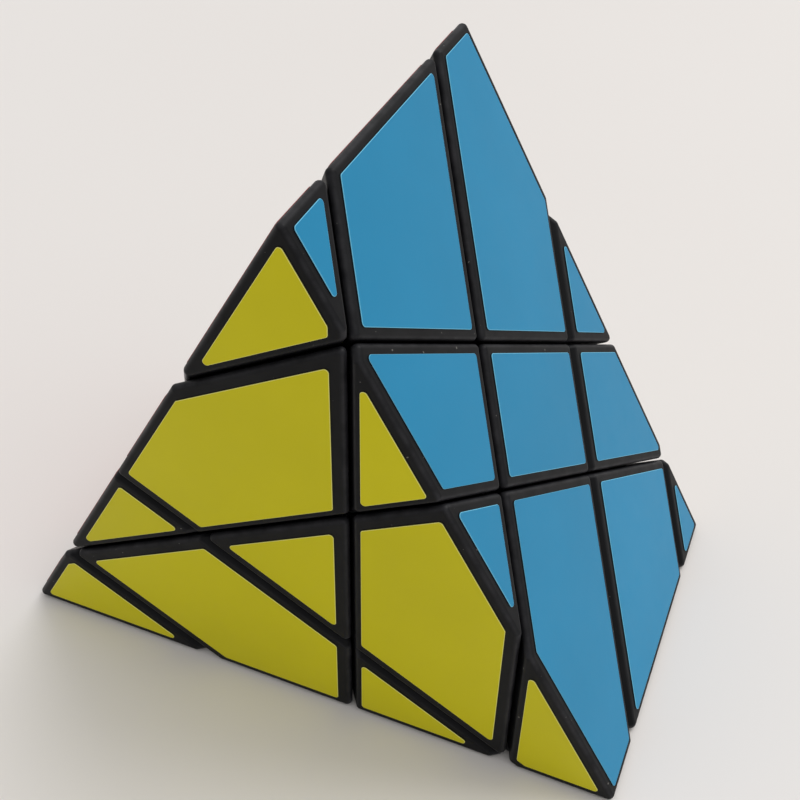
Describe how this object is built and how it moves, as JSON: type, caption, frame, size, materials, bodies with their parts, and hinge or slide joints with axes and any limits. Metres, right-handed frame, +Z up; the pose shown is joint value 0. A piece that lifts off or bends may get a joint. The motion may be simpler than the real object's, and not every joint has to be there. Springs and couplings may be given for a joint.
{
  "type": "triangular prism twisty puzzle",
  "caption": "Triangular prism twisty puzzle lying on a long face: hollow black pieces with vinyl stickers, held on a screwed core so that its outer layers turn.",
  "frame": {"origin": "centre of the resting long face, on the table", "axes": "+Z up; X across the triangle's base, with the blue face towards +X and up; Y along the prism, with the yellow triangular end towards -Y"},
  "size_m": [0.0932, 0.0558, 0.0809],
  "materials": {
    "black_plastic": "moulded black plastic, satin, with rounded edges",
    "inner_plastic": "moulded grey plastic, plain",
    "steel": "zinc-plated steel",
    "blue_sticker": "smooth vinyl film, semi-gloss",
    "yellow_sticker": "smooth vinyl film, semi-gloss",
    "red_sticker": "smooth vinyl film, semi-gloss",
    "green_sticker": "smooth vinyl film, semi-gloss",
    "white_sticker": "smooth vinyl film, semi-gloss"
  },
  "bodies": {
    "middle_slice": {"right_face_edge": "black_plastic", "front_left_edge": "black_plastic", "back_base_edge": "black_plastic", "left_ridge_edge": "black_plastic", "right_front_centre": "black_plastic", "right_back_centre": "black_plastic", "left_front_centre": "black_plastic", "base_back_centre": "black_plastic", "right_front_base": "inner_plastic", "right_back_base": "inner_plastic", "left_front_base": "inner_plastic", "base_back_base": "inner_plastic", "middle_edge_feet": "inner_plastic", "core": "black_plastic", "screws": "steel", "washers": "steel", "springs": "steel", "right_stickers_middle": "blue_sticker", "left_stickers_middle": "red_sticker", "base_stickers_middle": "green_sticker", "front_stickers_middle": "yellow_sticker", "back_stickers_middle": "white_sticker"},
    "upper_layer": {"top_front_corner": "black_plastic", "top_back_corner": "black_plastic", "left_back_corner": "black_plastic", "back_end_corner": "black_plastic", "top_ridge_edge": "black_plastic", "left_face_edge": "black_plastic", "back_right_edge": "black_plastic", "back_left_edge": "black_plastic", "left_back_centre": "black_plastic", "left_back_base": "inner_plastic", "upper_corner_feet": "inner_plastic", "upper_edge_feet": "inner_plastic", "right_stickers_upper": "blue_sticker", "left_stickers_upper": "red_sticker", "base_stickers_upper": "green_sticker", "front_stickers_upper": "yellow_sticker", "back_stickers_upper": "white_sticker"},
    "lower_layer": {"right_front_corner": "black_plastic", "right_back_corner": "black_plastic", "left_front_corner": "black_plastic", "front_end_corner": "black_plastic", "right_ridge_edge": "black_plastic", "base_face_edge": "black_plastic", "front_right_edge": "black_plastic", "front_base_edge": "black_plastic", "base_front_centre": "black_plastic", "base_front_base": "inner_plastic", "lower_corner_feet": "inner_plastic", "lower_edge_feet": "inner_plastic", "right_stickers_lower": "blue_sticker", "left_stickers_lower": "red_sticker", "base_stickers_lower": "green_sticker", "front_stickers_lower": "yellow_sticker", "back_stickers_lower": "white_sticker"}
  },
  "joints": [
    {"name": "upper_layer_turn", "type": "hinge", "parent": "middle_slice", "child": "upper_layer", "pos_m": [0, 0, 0.02705], "axis": [-0.4082, 0.5774, 0.7071], "continuous": true},
    {"name": "lower_layer_turn", "type": "hinge", "parent": "middle_slice", "child": "lower_layer", "pos_m": [0, 0, 0.02705], "axis": [-0.4082, 0.5774, 0.7071], "continuous": true}
  ]
}
